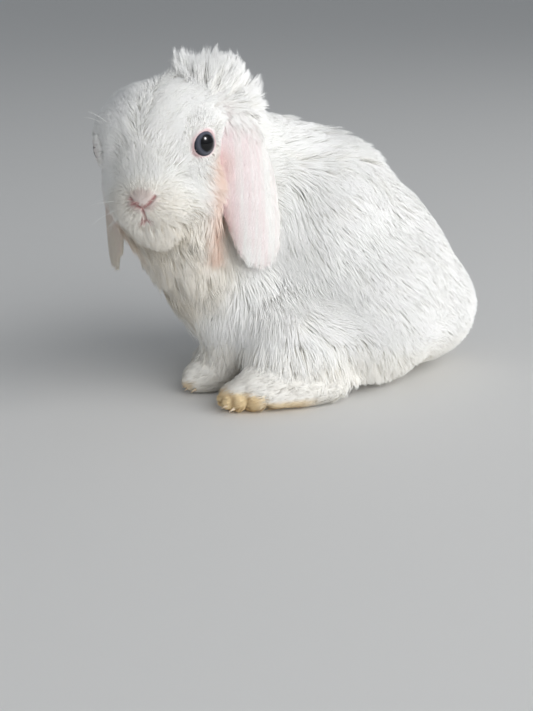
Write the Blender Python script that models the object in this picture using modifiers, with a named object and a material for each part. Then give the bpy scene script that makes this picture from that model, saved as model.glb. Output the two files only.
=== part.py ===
"""Young lop rabbit, sitting, life size: the solids of its parts, out to the tips of the coat.

+Z is up and the floor is at Z = 0. The body faces -Y, so the animal's left side is at +X.
Lengths in the tables are millimetres, and MM turns them into Blender's metres.
"""

import math

import bmesh
import bpy
from mathutils import Matrix, Vector

MM = 0.001
SIDES = ("left", "right")
CUT = 0.3            # width of the cuts that part one solid from the next
VOXEL = 1.5          # grain at which the lumps of flesh and coat are fused
BLEND_ROUNDS = 16    # smoothing rounds that blend one lump into the next
BLEND_SHARE = 0.5    # of the way to its neighbours' middle that a point moves in a round
FLESH_FACES = 2600   # triangles kept on the whole body before it is parted

# The head sits above the forefeet, turned towards the animal's left.
HEAD_AT = Vector((19.5, -46.0, 94.0))
HEAD_TURN = 55.0
HEAD_RAISE = 1.0     # degrees that the nose is lifted
HEAD_TILT = 5.0      # degrees that the left cheek is higher than the right
HEAD_SCALE = 0.97

# Lumps of flesh and coat, each with its centre and its three radii.
TRUNK = {
    "chest": ((3, -24, 50), (26, 23, 31)),
    "ruff": ((12, -38, 64), (23, 20, 22)),
    "ribs": ((0, -4, 65), (32, 32, 45)),
    "loin": ((0, 17, 60), (40, 39, 43)),
    "rump": ((0, 41, 38), (42, 39, 39)),
    "croup": ((0, 43, 49), (33, 29, 34)),
    "seat": ((2, 59, 27), (35, 31, 27)),
    "belly": ((0, 12, 32), (37, 44, 30)),
    "withers": ((4, -15, 82), (25, 26, 27)),
    "tail": ((0, 82, 17), (10, 9, 11)),
}
TRUNK_SIDES = {
    "shoulder": ((19, -18, 46), (13, 18, 24)),
    "thigh": ((29, 34, 34), (19, 32, 34)),
    "knee": ((33, 2, 24), (14, 24, 20)),
    "elbow": ((20, -10, 25), (13, 16, 14)),
}
# In the head's own coordinates, whose axes are the body's turned with the head.
HEAD = {
    "cranium": ((0, -1, 5), (24.5, 28, 27)),
    "forehead": ((0, -9, 8), (23, 20, 20)),
    "crown": ((0, 15, 10), (25, 26, 23)),
    "forelock": ((4, 12, 18), (9, 11, 21.5)),
    "crest": ((16, 20, 20), (13, 15, 18)),
    "nape": ((20, 21, 13), (15, 14, 15)),
    "muzzle": ((0, -15, -11), (17, 16, 15)),
    "nose": ((0, -28, -12), (5.5, 5, 5.5)),
    "chin": ((0, -18, -23), (10, 10, 8)),
    "jaw": ((0, -2, -20), (19, 20, 13)),
}
HEAD_SIDES = {
    "cheek": ((11, -3, -10), (15.5, 19, 18)),
    "lip": ((6, -22, -15), (9, 8, 9)),
    "brow": ((14, -5, 14), (13, 15, 10)),
    "temple": ((13, 12, 14), (17, 18, 17)),
}
# Points down a limb, each with the half width there.
FORELEGS = {
    "left": (
        ((17, -17, 42), 14), ((16, -21, 26), 11), ((14, -25, 13), 9.5),
        ((13, -29, 6.5), 8.5), ((13, -35, 6), 7.5),
    ),
    "right": (
        ((-16, -14, 42), 14), ((-13, -14, 26), 11), ((-11, -15, 13), 9.5),
        ((-9, -19, 6.5), 8.5), ((-9, -25, 6), 7.5),
    ),
}
HIND_FEET = {
    "left": (
        ((42, 12, 7.5), 8.5), ((42, 0, 8), 9), ((41, -13, 8), 9),
        ((39, -22, 6.5), 8.5), ((38, -28, 5), 7),
    ),
    "right": (
        ((-40, 38, 7.5), 8.5), ((-41, 26, 8), 9), ((-41, 13, 8), 9),
        ((-40, 3, 6.5), 8.5), ((-39, -3, 5), 7),
    ),
}
LIMB_STEPS = 5       # balls strung from one point of a limb to the next
LUMP_SEGMENTS = 24
EYE_SEGMENTS = 16
EAR_SEGMENTS = 14
FLOOR_SIZE = 400     # side of the block that cuts the soles flat


def clear_scene():
    for obj in list(bpy.data.objects):
        bpy.data.objects.remove(obj)


def head_frame():
    """The head's coordinates to the body's."""
    turn = Matrix.Rotation(math.radians(HEAD_TURN), 4, "Z")
    lift = Matrix.Rotation(math.radians(-HEAD_RAISE), 4, "X")
    tilt = Matrix.Rotation(math.radians(-HEAD_TILT), 4, "Y")
    return Matrix.Translation(HEAD_AT) @ turn @ tilt @ lift @ Matrix.Scale(HEAD_SCALE, 4)


def ball(segments=LUMP_SEGMENTS):
    """A unit sphere as mesh data, whose copies become the lumps."""
    mesh = bmesh.new()
    bmesh.ops.create_uvsphere(mesh, u_segments=segments, v_segments=segments // 2, radius=1)
    data = bpy.data.meshes.new("ball")
    mesh.to_mesh(data)
    mesh.free()
    return data


def add_lump(mesh, unit, centre, radii, frame=Matrix.Identity(4)):
    data = unit.copy()
    data.transform(frame @ Matrix.Translation(centre) @ Matrix.Diagonal((*radii, 1)))
    mesh.from_mesh(data)
    bpy.data.meshes.remove(data)


def mirrored(centre):
    return (-centre[0], centre[1], centre[2])


def add_lumps(mesh, unit, middle, sides, frame=Matrix.Identity(4)):
    for centre, radii in middle.values():
        add_lump(mesh, unit, centre, radii, frame)
    for centre, radii in sides.values():
        add_lump(mesh, unit, centre, radii, frame)
        add_lump(mesh, unit, mirrored(centre), radii, frame)


def add_limb(mesh, unit, stations):
    for (start, near), (end, far) in zip(stations, stations[1:]):
        for step in range(LIMB_STEPS + 1):
            t = step / LIMB_STEPS
            point = Vector(start).lerp(Vector(end), t)
            radius = near + (far - near) * t
            add_lump(mesh, unit, point, (radius,) * 3)


def as_object(name, mesh, collection):
    data = bpy.data.meshes.new(name)
    mesh.to_mesh(data)
    mesh.free()
    data.transform(Matrix.Scale(MM, 4))
    obj = bpy.data.objects.new(name, data)
    collection.objects.link(obj)
    return obj


def applied(obj):
    """Replaces the object's mesh with what its modifiers make of it."""
    graph = bpy.context.evaluated_depsgraph_get()
    data = bpy.data.meshes.new_from_object(obj.evaluated_get(graph))
    obj.modifiers.clear()
    obj.data = data
    return obj


def whole_body(collection):
    """Every lump fused into one smooth closed surface."""
    unit = ball()
    mesh = bmesh.new()
    add_lumps(mesh, unit, TRUNK, TRUNK_SIDES)
    add_lumps(mesh, unit, HEAD, HEAD_SIDES, head_frame())
    for side in SIDES:
        add_limb(mesh, unit, FORELEGS[side])
        add_limb(mesh, unit, HIND_FEET[side])
    body = as_object("whole", mesh, collection)
    fuse = body.modifiers.new("fuse", "REMESH")
    fuse.mode = "VOXEL"
    fuse.voxel_size = VOXEL * MM
    blend = body.modifiers.new("blend", "SMOOTH")
    blend.factor = BLEND_SHARE
    blend.iterations = BLEND_ROUNDS
    applied(body)
    thin = body.modifiers.new("thin", "DECIMATE")
    thin.ratio = FLESH_FACES / (2 * len(body.data.polygons))
    return applied(body)


# An ear hangs from its base to its tip in the head's coordinates, and its broad outer side is turned
# this many degrees from straight ahead.
EAR_WIDTH = 28.0
EAR_BASE_SHARE = 0.6   # of the whole width, at the base
EAR_WIDEST_AT = 0.62   # of the way down to the tip
EAR_THICK = 3.6
EAR_CUP = 3.5          # how far the rims curl in towards the cheek
EAR_ROUND = 0.55       # power that rounds the ends: 1 draws them to a point, 0 leaves them square
EARS = {
    "left": {"base": (20, 4, 21), "bend": (33, -1, 8), "tip": (33, 8, -44), "facing": 50},
    "right": {"base": (-21, 11, 20), "bend": (-31.5, 14, 8), "tip": (-37, 20, -45), "facing": -55},
}
TINY = 1e-6


def ear_width(t):
    """Half width at t, 0 at the base and 1 at the tip."""
    swell = math.sin(math.pi / 2 * min(1.0, t / EAR_WIDEST_AT))
    return 0.5 * EAR_WIDTH * (EAR_BASE_SHARE + (1 - EAR_BASE_SHARE) * swell)


def ear(name, spec, collection):
    """A thick sheet bent along its spine: a ball's height becomes the way down it."""
    base, bend, tip = (Vector(spec[key]) for key in ("base", "bend", "tip"))
    facing = math.radians(spec["facing"])
    out = Vector((math.sin(facing), -math.cos(facing), 0.0))
    mesh = bmesh.new()
    bmesh.ops.create_uvsphere(mesh, u_segments=EAR_SEGMENTS, v_segments=EAR_SEGMENTS, radius=1)
    for vert in mesh.verts:
        across, depth, along = vert.co
        round_off = math.sqrt(max(0.0, 1.0 - along * along))
        t = 0.5 - 0.5 * along
        spine = base.lerp(bend, t).lerp(bend.lerp(tip, t), t)
        down = (bend.lerp(tip, t) - base.lerp(bend, t)).normalized()
        side = down.cross(out).normalized()
        outer = side.cross(down).normalized()
        u = across / max(round_off, TINY)
        u *= round_off ** EAR_ROUND
        lift = 0.5 * EAR_THICK * depth - EAR_CUP * u ** 2
        vert.co = spine + side * (ear_width(t) * u) + outer * lift
    bmesh.ops.transform(mesh, matrix=head_frame(), verts=mesh.verts)
    bmesh.ops.recalc_face_normals(mesh, faces=mesh.faces)
    return as_object(name, mesh, collection)


EYE_RADIUS = 6.5
EYE_LIFT = 5.3                     # how far the coat's surface lies outside the eye's centre
EYE_FROM = (0, -3, 4.6)            # a point inside the head, in the head's coordinates
EYE_LOOK = (0.86, -0.47, 0.14)     # the way from there to the left eye
EYE_REACH = 60                     # far enough along it to be outside the head


def eye_centre(side, body):
    """The middle of an eye that is sunk in the head's surface."""
    frame = head_frame()
    look = Vector(EYE_LOOK if side == "left" else mirrored(EYE_LOOK))
    look = (frame.to_3x3() @ look).normalized()
    far = frame @ Vector(EYE_FROM) + look * EYE_REACH
    hit = body.ray_cast(far * MM, -look)[1]
    return hit / MM - look * EYE_LIFT


def eye(side, body, unit, collection):
    mesh = bmesh.new()
    add_lump(mesh, unit, eye_centre(side, body), (EYE_RADIUS,) * 3)
    return as_object("eye_" + side, mesh, collection)


# Where the body is parted: each region is an ellipsoid, taken in this order. The head and the neck
# come last, and the rest is the trunk.
REGIONS = {
    "hindfoot_left": ((41, -9, 3), (13, 34, 14)),
    "hindfoot_right": ((-41, 16, 3), (13, 34, 14)),
    "forepaw_left": ((13, -34, 3), (13, 14, 10)),
    "forepaw_right": ((-9, -24, 3), (13, 14, 10)),
    "foreleg_left": ((14, -27, 14), (14, 26, 27)),
    "foreleg_right": ((-13, -18, 14), (13, 24, 27)),
    "hindleg_left": ((46, 20, 32), (25, 44, 42)),
    "hindleg_right": ((-46, 20, 32), (25, 44, 42)),
    "tail": ((0, 87, 17), (14, 13, 15)),
}
CUTTER_SEGMENTS = 18
WELD = 0.002         # points nearer than this are one
FLAT_DEGREES = 1.5   # faces that turn less than this from one to the next are one
HEAD_REGION = ((0, 8, 4), (41, 48, 44))
NECK_REGION = ((8, -28, 78), (34, 30, 27))


def boolean(target, cutter, operation):
    cut = target.modifiers.new("cut", "BOOLEAN")
    cut.object = cutter
    cut.operation = operation
    applied(target)


def ellipsoid(region, frame, grow, collection):
    centre, radii = region
    unit = ball(CUTTER_SEGMENTS)
    mesh = bmesh.new()
    add_lump(mesh, unit, centre, [radius + grow for radius in radii], frame)
    bpy.data.meshes.remove(unit)
    return as_object("cutter", mesh, collection)


def take_out(name, region, frame, body, collection):
    """Parts a region's solid from the body, leaving a thin cut between the two."""
    part = body.copy()
    part.data = body.data.copy()
    part.name = name
    collection.objects.link(part)
    for target, operation, grow in ((part, "INTERSECT", -CUT / 2), (body, "DIFFERENCE", CUT / 2)):
        cutter = ellipsoid(region, frame, grow, collection)
        boolean(target, cutter, operation)
        bpy.data.objects.remove(cutter)
    return part


def drop_crumbs(obj):
    """Leaves one closed body: faces that lie flat together become one, and loose crumbs go."""
    mesh = bmesh.new()
    mesh.from_mesh(obj.data)
    bmesh.ops.remove_doubles(mesh, verts=mesh.verts, dist=WELD * MM)
    bmesh.ops.dissolve_limit(mesh, angle_limit=math.radians(FLAT_DEGREES), verts=mesh.verts, edges=mesh.edges)
    bmesh.ops.triangulate(mesh, faces=mesh.faces)
    islands = []
    left = set(mesh.verts)
    while left:
        front = [left.pop()]
        island = set(front)
        while front:
            near = {edge.other_vert(vert) for vert in front for edge in vert.link_edges} & left
            left -= near
            island |= near
            front = list(near)
        islands.append(island)
    islands.sort(key=len)
    for crumb in islands[:-1]:
        bmesh.ops.delete(mesh, geom=list(crumb), context="VERTS")
    mesh.to_mesh(obj.data)
    mesh.free()


def swollen(obj, collection):
    """A copy of a solid, larger by the width of a cut on every side."""
    copy = obj.copy()
    copy.data = obj.data.copy()
    collection.objects.link(copy)
    grow = copy.modifiers.new("grow", "DISPLACE")
    grow.strength = CUT * MM
    grow.mid_level = 0
    return applied(copy)


def flatten_soles(body, collection):
    """Cuts everything below the floor away, which leaves the flats it rests on."""
    mesh = bmesh.new()
    bmesh.ops.create_cube(mesh, size=FLOOR_SIZE, matrix=Matrix.Translation((0, 0, -FLOOR_SIZE / 2)))
    floor = as_object("floor", mesh, collection)
    boolean(body, floor, "DIFFERENCE")
    bpy.data.objects.remove(floor)


# Colour, roughness and metallic value of each kind of surface.
COAT = ((0.87, 0.86, 0.82), 0.90, 0.0)
EAR = ((0.86, 0.68, 0.66), 0.75, 0.0)
FOOT = ((0.82, 0.76, 0.58), 0.90, 0.0)
EYE = ((0.03, 0.04, 0.07), 0.05, 0.0)
SPECIAL_FINISHES = {"ear": EAR, "eye": EYE, "hindfoot": FOOT}


def finish(obj):
    """Gives the part its own material."""
    colour, roughness, metallic = SPECIAL_FINISHES.get(obj.name.split("_")[0], COAT)
    material = bpy.data.materials.new(obj.name)
    material.use_nodes = True
    surface = material.node_tree.nodes["Principled BSDF"]
    surface.inputs["Base Color"].default_value = (*colour, 1.0)
    surface.inputs["Roughness"].default_value = roughness
    surface.inputs["Metallic"].default_value = metallic
    obj.data.materials.clear()
    obj.data.materials.append(material)


def centre_on_floor(objects):
    """Moves the origin under the middle of the whole animal, at the floor."""
    points = [vert.co for obj in objects for vert in obj.data.vertices]
    middle_x = (min(p.x for p in points) + max(p.x for p in points)) / 2
    middle_y = (min(p.y for p in points) + max(p.y for p in points)) / 2
    shift = Matrix.Translation((-middle_x, -middle_y, 0))
    for obj in objects:
        obj.data.transform(shift)


def main():
    clear_scene()
    collection = bpy.data.collections.new("lop_rabbit")
    bpy.context.scene.collection.children.link(collection)
    body = whole_body(collection)
    flatten_soles(body, collection)
    unit = ball(EYE_SEGMENTS)
    set_in = [eye(side, body, unit, collection) for side in SIDES]
    set_in += [ear("ear_" + side, EARS[side], collection) for side in SIDES]
    for piece in set_in:
        cutter = swollen(piece, collection)
        boolean(body, cutter, "DIFFERENCE")
        bpy.data.objects.remove(cutter)
    for name, region in REGIONS.items():
        take_out(name, region, Matrix.Identity(4), body, collection)
    take_out("head", HEAD_REGION, head_frame(), body, collection)
    take_out("neck", NECK_REGION, Matrix.Identity(4), body, collection)
    body.name = "trunk"
    for obj in collection.objects:
        drop_crumbs(obj)
        finish(obj)
        obj.data.shade_smooth()
    centre_on_floor(collection.objects)


main()
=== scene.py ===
"""Young white lop rabbit, sitting with its head turned: skin, coat, eyes, claws and whiskers.

Lengths in the tables are millimetres. Head coordinates have +X at the animal's left cheek, -Y at its
nose and +Z at its crown; the rest is in the frame's own axes.
"""

import math

import bmesh
import bpy
import numpy as np
from mathutils import Matrix, Quaternion, Vector
from mathutils.bvhtree import BVHTree
from mathutils.kdtree import KDTree

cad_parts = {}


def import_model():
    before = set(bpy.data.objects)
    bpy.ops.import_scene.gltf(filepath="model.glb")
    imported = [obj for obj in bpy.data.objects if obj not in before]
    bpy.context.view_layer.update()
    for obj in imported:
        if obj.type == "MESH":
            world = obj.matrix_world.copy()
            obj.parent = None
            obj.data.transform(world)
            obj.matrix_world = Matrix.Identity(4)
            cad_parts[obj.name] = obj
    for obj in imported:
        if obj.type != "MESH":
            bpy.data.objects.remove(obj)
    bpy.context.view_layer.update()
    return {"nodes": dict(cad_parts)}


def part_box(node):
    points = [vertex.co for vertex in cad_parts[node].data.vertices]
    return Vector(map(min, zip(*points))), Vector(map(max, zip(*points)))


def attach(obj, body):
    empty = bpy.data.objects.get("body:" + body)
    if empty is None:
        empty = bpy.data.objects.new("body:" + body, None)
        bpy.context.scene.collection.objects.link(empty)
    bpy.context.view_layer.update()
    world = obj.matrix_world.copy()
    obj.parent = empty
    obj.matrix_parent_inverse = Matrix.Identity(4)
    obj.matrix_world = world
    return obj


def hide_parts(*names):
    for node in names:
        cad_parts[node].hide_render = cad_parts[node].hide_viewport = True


MM = 0.001
SIDES = ("left", "right")
SIGN = {"left": 1.0, "right": -1.0}

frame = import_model()
nodes = frame["nodes"]


def box_mm(name):
    low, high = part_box(name)
    return np.array(low) / MM, np.array(high) / MM


def middle(name):
    low, high = box_mm(name)
    return (low + high) / 2


# The head's own axes: turned to the animal's left, nose a little up, left cheek a little up.
HEAD_TURN = 55.0
HEAD_RAISE = 1.0
HEAD_TILT = 5.0
EYES_IN_HEAD = np.array((0.0, -11.9, 7.14))     # the point midway between the eyes' centres
EYE_LOOK = {"left": np.array((0.855, -0.52, 0.02)), "right": np.array((-0.93, -0.37, 0.02))}

head_axes = np.array(
    Matrix.Rotation(math.radians(HEAD_TURN), 3, "Z")
    @ Matrix.Rotation(math.radians(-HEAD_TILT), 3, "Y")
    @ Matrix.Rotation(math.radians(-HEAD_RAISE), 3, "X")
)
eye_at = {side: middle("eye_" + side) for side in SIDES}
head_at = (eye_at["left"] + eye_at["right"]) / 2 - head_axes @ EYES_IN_HEAD


def to_head(points):
    return (points - head_at) @ head_axes


def from_head(points):
    return points @ head_axes.T + head_at


def unit(vectors):
    return vectors / np.maximum(np.linalg.norm(vectors, axis=-1, keepdims=True), 1e-9)


def ease(x):
    """0 below 0, 1 above 1, and a smooth rise between."""
    x = np.clip(x, 0.0, 1.0)
    return x * x * (3.0 - 2.0 * x)


def within(points, centre, radii, fade):
    """1 within an ellipsoid, fading to 0 over that share of its radii beyond it."""
    reach = np.linalg.norm((points - np.array(centre)) / np.array(radii), axis=1)
    return ease((1.0 + fade - reach) / fade)


# ---------------------------------------------------------------- zones of the coat
TRAITS = ("depth", "length", "width", "density", "pull", "lift")
BODY_LIE = (0.0, 0.62, -0.78)
BODY_COAT = (4.0, 13.0, 0.56, 2.15, 0.42, 0.10)
# Each zone: axes, centre, radii, fade, (depth, length, width, tufts per mm2, pull to the lock, lift), lie.
# "head" zones are on both sides of the head; "face" zones are on one.
ZONES = [
    ("body", (0, -30, 62), (60, 22, 60), 0.5, (4.3, 15, 0.53, 2.1, 0.50, 0.14), (0.0, 0.22, -1.0)),
    ("body", (0, 62, 40), (60, 26, 60), 0.6, (4.0, 13, 0.56, 2.1, 0.42, 0.14), (0.0, 0.80, -0.60)),
    ("body", (0, 12, 108), (26, 60, 20), 0.5, (4.0, 12, 0.50, 2.3, 0.70, 0.60), (0.0, 1.0, 0.22)),
    ("body", (10, -62, 48), (40, 26, 36), 0.4, (4.8, 19, 0.45, 2.2, 0.60, 0.06), (0.0, -0.04, -1.0)),
    ("body", (0, 25, 2), (70, 80, 12), 0.6, (3.5, 11, 0.48, 1.9, 0.55, 0.05), (0.0, 0.35, -1.0)),
    ("body", (0, 78, 17), (14, 14, 14), 0.4, (4.0, 11, 0.48, 2.0, 0.55, 0.20), (0.0, 1.0, 0.05)),
    ("body", (12, -36, 18), (17, 18, 17), 0.4, (2.4, 8, 0.40, 2.6, 0.50, 0.06), (0.0, -0.1, -1.0)),
    ("body", (-12, -26, 18), (17, 18, 17), 0.4, (2.4, 8, 0.40, 2.6, 0.50, 0.06), (0.0, -0.1, -1.0)),
    ("head", (0, 3, 3), (36, 39, 39), 0.25, (3.4, 8.0, 0.38, 3.2, 0.45, 0.12), (0.3, 0.9, -0.1)),
    ("head", (0, 20, 28), (30, 20, 18), 0.4, (4.0, 9, 0.40, 3.0, 0.55, 0.15), (0.3, 0.8, 0.3)),
    ("head", (0, -16, 16), (26, 19, 17), 0.4, (3.2, 7.5, 0.38, 4.6, 0.38, 0.34), (0.65, 0.15, 0.80)),
    ("head", (20, -6, -10), (14, 15, 15), 0.4, (3.0, 8.0, 0.34, 3.8, 0.50, 0.10), (0.1, 0.70, -0.70)),
    ("head", (8, 0, -27), (28, 26, 13), 0.35, (5.0, 15, 0.40, 2.9, 0.70, 0.16), (0.1, 0.15, -1.0)),
    ("head", (0, -25, -12), (13, 12, 11), 0.35, (1.6, 4.2, 0.27, 6.2, 0.30, 0.10), (0.6, 0.8, -0.35)),
    ("head", (0, -26, 0), (8, 12, 8), 0.4, (1.4, 4.0, 0.27, 6.2, 0.30, 0.08), (0.15, 0.5, 0.85)),
    ("head", (0, -20, -23), (10, 9, 6), 0.4, (2.2, 8.0, 0.32, 4.4, 0.60, 0.40), (0.0, 0.3, -1.0)),
    ("head", (30, 3, 16), (10, 11, 10), 0.4, (3.0, 8, 0.38, 4.0, 0.60, 0.15), (0.2, 0.75, -0.6)),
    ("head", (14, 2, -34), (13, 10, 9), 0.4, (5.0, 14, 0.38, 3.2, 0.60, 0.10), (0.1, 0.25, -1.0)),
    ("face", (-15, -19, 7), (7, 7, 12), 0.5, (2.6, 5.0, 0.46, 9.0, 0.20, 0.28), (-0.90, 0.10, 0.05)),
    ("head", (12, -4, -32), (12, 14, 7), 0.4, (4.5, 14, 0.38, 3.4, 0.75, 0.55), (0.2, 0.0, -1.0)),
    ("head", (22, 1, -22), (9, 10, 11), 0.4, (3.5, 15, 0.38, 3.6, 0.60, 0.45), (0.15, -0.1, -1.0)),
]
PAW_COAT = (1.5, 5.0, 0.32, 4.0, 0.50, 0.10)
FOOT_COAT = (1.9, 6.5, 0.34, 4.0, 0.50, 0.12)
FOOT_LIE = (0.0, -1.0, -0.2)
HOCK_COAT = (4.2, 12.0, 0.44, 2.6, 0.60, 0.30)
for name, traits in (("forepaw", PAW_COAT), ("hindfoot", FOOT_COAT)):
    for side in SIDES:
        low, high = box_mm(f"{name}_{side}")
        ZONES.append(("body", (low + high) / 2, (high - low) * 0.55, 0.3, traits, FOOT_LIE))
        if name == "hindfoot":
            hock = (low[0] + high[0]) / 2, high[1] - 8, high[2] + 2
            ZONES.append(("body", hock, (16, 20, 8), 0.4, HOCK_COAT, (0.35 * SIGN[side], 0.1, -1.0)))
# The ruff on the crown, in the head's axes. Its tufts fan out from CREST_FROM.
CREST_CENTRE = np.array((18.5, 17.0, 29.0))
CREST_RADII = (15, 18, 14)
CREST_FROM = np.array((12.0, 6.0, 8.0))
CREST_COAT = (4.6, 12.0, 0.28, 6.0, 0.80, 0.70)
TOE_COAT = (0.7, 2.6, 0.28, 6.0, 0.35, 0.05)
EYE_COAT = (1.3, 3.6, 0.31, 7.0, 0.25, 0.03)
EAR_COAT = (0.25, 3.0, 0.18, 6.0, 0.20, 0.02)
EAR_LIE = (0.0, 0.0, -1.0)
EAR_REACH = 1.2      # skin within this of an ear is the ear's, and it stops being so over EAR_FADE
EAR_FADE = 1.5
EAR_ROOT = 114.0     # the height below which the head's hair gives way to the ear's own
EAR_MIDDLE = -28.0   # where along Y it does so at just that height
# Grooves between the toes: distances behind the front end, and shares of the foot's width.
SIDE_GROOVES = (5.6, 11.2, 19.3)
SIDE_GROOVE_WIDTH = 1.3
SIDE_GROOVE_DEPTH = 1.7
SIDE_GROOVE_REACH = 11.0
FRONT_GROOVES = (0.3, 0.5, 0.7)
# Each kind of foot: the height of its toes, and its front grooves' depth, width and length.
TOE_GROOVES = (("hindfoot", 9.5, 1.3, 1.0, 7.0), ("forepaw", 8.0, 1.1, 0.9, 9.0))
FOOT_MARGIN = 3.0


def in_foot(points, name, side):
    """Each point's distance from a foot's outer side, behind its front end and above the floor.

    Then the foot's width, and whether the point is on it or close by.
    """
    low, high = box_mm(f"{name}_{side}")
    across = high[0] - points[:, 0] if side == "left" else points[:, 0] - low[0]
    behind = points[:, 1] - low[1]
    width = high[0] - low[0]
    near = (across > -FOOT_MARGIN) & (across < width + FOOT_MARGIN) & (behind > -FOOT_MARGIN)
    return across, behind, points[:, 2], width, near


def toes(points):
    """1 on the toes and along the outer edge of the soles, and 0 away from them."""
    share = np.zeros(len(points))
    for side in SIDES:
        across, behind, above, _, near = in_foot(points, "hindfoot", side)
        front = ease((19.0 - behind) / 5.0) * ease((10.5 - above - 0.12 * behind) / 2.5)
        edge = 0.8 * ease((42.0 - behind) / 12.0) * ease((6.0 - above) / 2.5) * ease((9.0 - across) / 3.0)
        share = np.maximum(share, near * np.maximum(front, edge))
        _, behind, above, _, near = in_foot(points, "forepaw", side)
        share = np.maximum(share, near * 0.7 * ease((6.0 - behind) / 3.0) * ease((7.0 - above) / 3.0))
    return share


def groove(distance, width, depth):
    """How deep a rounded groove is at a distance from its middle."""
    return depth * np.exp(-(distance / width) ** 2)


def toe_grooves(points):
    """How deep the skin is pressed in between the toes."""
    depth = np.zeros(len(points))
    for side in SIDES:
        for name, top, deep, wide, reach in TOE_GROOVES:
            across, behind, above, width, near = in_foot(points, name, side)
            low = ease((top - above) / 2.5) * near
            if name == "hindfoot":
                outer = ease((SIDE_GROOVE_REACH - across) / 4.0)
                for at in SIDE_GROOVES:
                    pressed = groove(behind - at, SIDE_GROOVE_WIDTH, SIDE_GROOVE_DEPTH)
                    depth = np.maximum(depth, pressed * low * outer)
            front = ease((reach - behind) / 4.0)
            for at in FRONT_GROOVES:
                depth = np.maximum(depth, groove(across - at * width, wide, deep) * low * front)
    return depth


def surface_tree(points, mesh):
    """A mesh's surface through points in millimetres, for finding the nearest place on it."""
    return BVHTree.FromPolygons([Vector(at) for at in points], [list(face.vertices) for face in mesh.polygons])


def node_tree(name):
    mesh = nodes[name].data
    return surface_tree([vert.co / MM for vert in mesh.vertices], mesh)


def distances(tree, points):
    return np.array([tree.find_nearest(point)[3] for point in points])


ear_tree = {side: node_tree("ear_" + side) for side in SIDES}


def ear_share(points):
    """1 on an ear and 0 away from both."""
    near = np.minimum(*(distances(ear_tree[side], points) for side in SIDES))
    return ease((EAR_REACH + EAR_FADE - near) / EAR_FADE)


def below_root(points):
    """0 at the ears' roots, where the head's coat hangs over them, and 1 further down."""
    wander = 2.0 * np.sin(points @ np.array((0.9, 1.3, 0.0))) + 0.35 * (points[:, 1] - EAR_MIDDLE)
    return ease((EAR_ROOT - wander - points[:, 2]) / 12.0)


def coat_at(points, ear):
    """The traits and the lie of the coat at each point."""
    head = to_head(points)
    sign = np.where(head[:, :1] < 0, -1.0, 1.0)
    mirrored = head * np.hstack((sign, np.ones_like(head[:, 1:])))
    traits = np.tile(BODY_COAT, (len(points), 1))
    lie = np.tile(BODY_LIE, (len(points), 1))

    def settle(share, values, way):
        share = share[:, None]
        traits[:] += share * (np.array(values) - traits)
        lie[:] += share * (way - lie)

    for axes, centre, radii, fade, values, way in ZONES:
        way = np.tile(way, (len(points), 1)).astype(float)
        if axes == "head":
            share = within(mirrored, centre, radii, fade)
            way = way * np.hstack((sign, np.ones_like(head[:, 1:]))) @ head_axes.T
        elif axes == "face":
            share = within(head, centre, radii, fade)
            way = way @ head_axes.T
        else:
            share = within(points, centre, radii, fade)
        settle(share, values, way)
    radial = unit(unit(head - CREST_FROM) + np.array((0.0, 0.25, 0.35)))
    settle(within(head, CREST_CENTRE, CREST_RADII, 0.3), CREST_COAT, radial @ head_axes.T)
    for side in SIDES:
        away = points - eye_at[side]
        share = within(points, eye_at[side], (8.0,) * 3, 0.5)
        share = share * (1 - 0.9 * ease((-14.0 - head[:, 0]) / 2.0) * ease((-15.5 - head[:, 1]) / 2.0))
        settle(share, EYE_COAT, 0.6 * unit(away) + 0.4 * unit(lie))
    settle(ear, EAR_COAT, np.tile(EAR_LIE, (len(points), 1)))
    settle(toes(points), TOE_COAT, np.tile(FOOT_LIE, (len(points), 1)))
    return dict(zip(TRAITS, traits.T)), unit(lie)


# ---------------------------------------------------------------- mesh helpers
def new_object(name, mesh):
    obj = bpy.data.objects.new(name, mesh)
    bpy.context.scene.collection.objects.link(obj)
    return obj


def applied(obj):
    """The object's mesh as its modifiers leave it; the object itself goes."""
    graph = bpy.context.evaluated_depsgraph_get()
    mesh = bpy.data.meshes.new_from_object(obj.evaluated_get(graph))
    bpy.data.objects.remove(obj)
    return mesh


def swollen(names, grow):
    """Copies of nodes in one mesh, each with its surface moved outwards by grow."""
    whole = bmesh.new()
    for name in names:
        part = bmesh.new()
        part.from_mesh(nodes[name].data)
        bmesh.ops.remove_doubles(part, verts=part.verts, dist=0.001 * MM)
        data = bpy.data.meshes.new(name)
        part.to_mesh(data)
        part.free()
        obj = new_object(name + "_copy", data)
        push = obj.modifiers.new("push", "DISPLACE")
        push.mid_level = 0
        push.strength = grow * MM
        whole.from_mesh(applied(obj))
    mesh = bpy.data.meshes.new("whole")
    whole.to_mesh(mesh)
    whole.free()
    return mesh


def fused(mesh, voxel):
    """The mesh as one closed surface."""
    obj = new_object("fuse", mesh)
    fuse = obj.modifiers.new("fuse", "REMESH")
    fuse.mode = "VOXEL"
    fuse.voxel_size = voxel * MM
    return without_hollows(applied(obj))


def without_hollows(mesh):
    """Keeps only the largest connected surface."""
    parts = bmesh.new()
    parts.from_mesh(mesh)
    left = set(parts.verts)
    islands = []
    while left:
        front = [left.pop()]
        island = set(front)
        while front:
            near = {edge.other_vert(vert) for vert in front for edge in vert.link_edges} & left
            left -= near
            island |= near
            front = list(near)
        islands.append(island)
    islands.sort(key=len)
    for island in islands[:-1]:
        bmesh.ops.delete(parts, geom=list(island), context="VERTS")
    parts.to_mesh(mesh)
    parts.free()
    return mesh


def places(mesh):
    flat = np.empty(len(mesh.vertices) * 3, np.float32)
    mesh.vertices.foreach_get("co", flat)
    return flat.reshape(-1, 3).astype(float) / MM


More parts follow.
